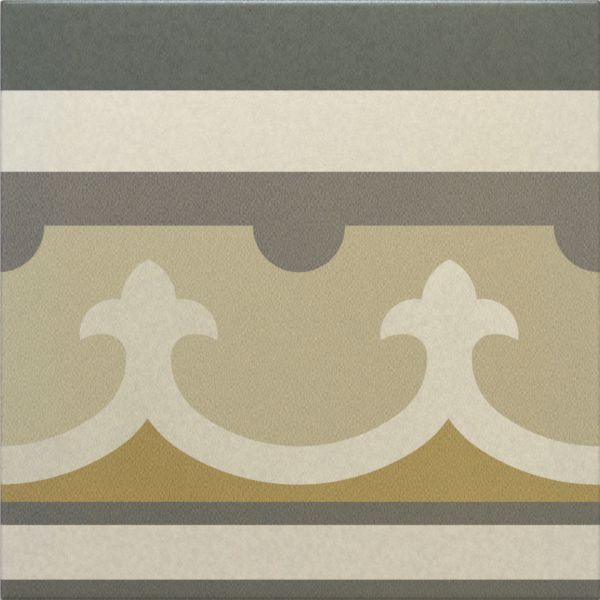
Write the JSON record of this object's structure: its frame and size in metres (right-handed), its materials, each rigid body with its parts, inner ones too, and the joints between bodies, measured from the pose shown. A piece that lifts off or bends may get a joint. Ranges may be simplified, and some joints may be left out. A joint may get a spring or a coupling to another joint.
{
  "type": "victorian border tile",
  "caption": "Square glazed floor tile with a printed scroll-and-band border, softly rounded edges and a ribbed back that keys into the adhesive bed.",
  "frame": {"origin": "centre of the rib plane on the tile's back, straight under the middle of the glazed face", "axes": "+Z out of the glazed face, +X along the run of the border, +Y towards the border's wide dark outer band"},
  "size_m": [0.2, 0.2, 0.009],
  "materials": {
    "glazed_stoneware": "satin printed glaze with a fine orange-peel grain on the face and edges, bare pale stoneware on the flanks and back"
  },
  "bodies": {
    "root": {"border_tile": "glazed_stoneware"}
  },
  "joints": []
}
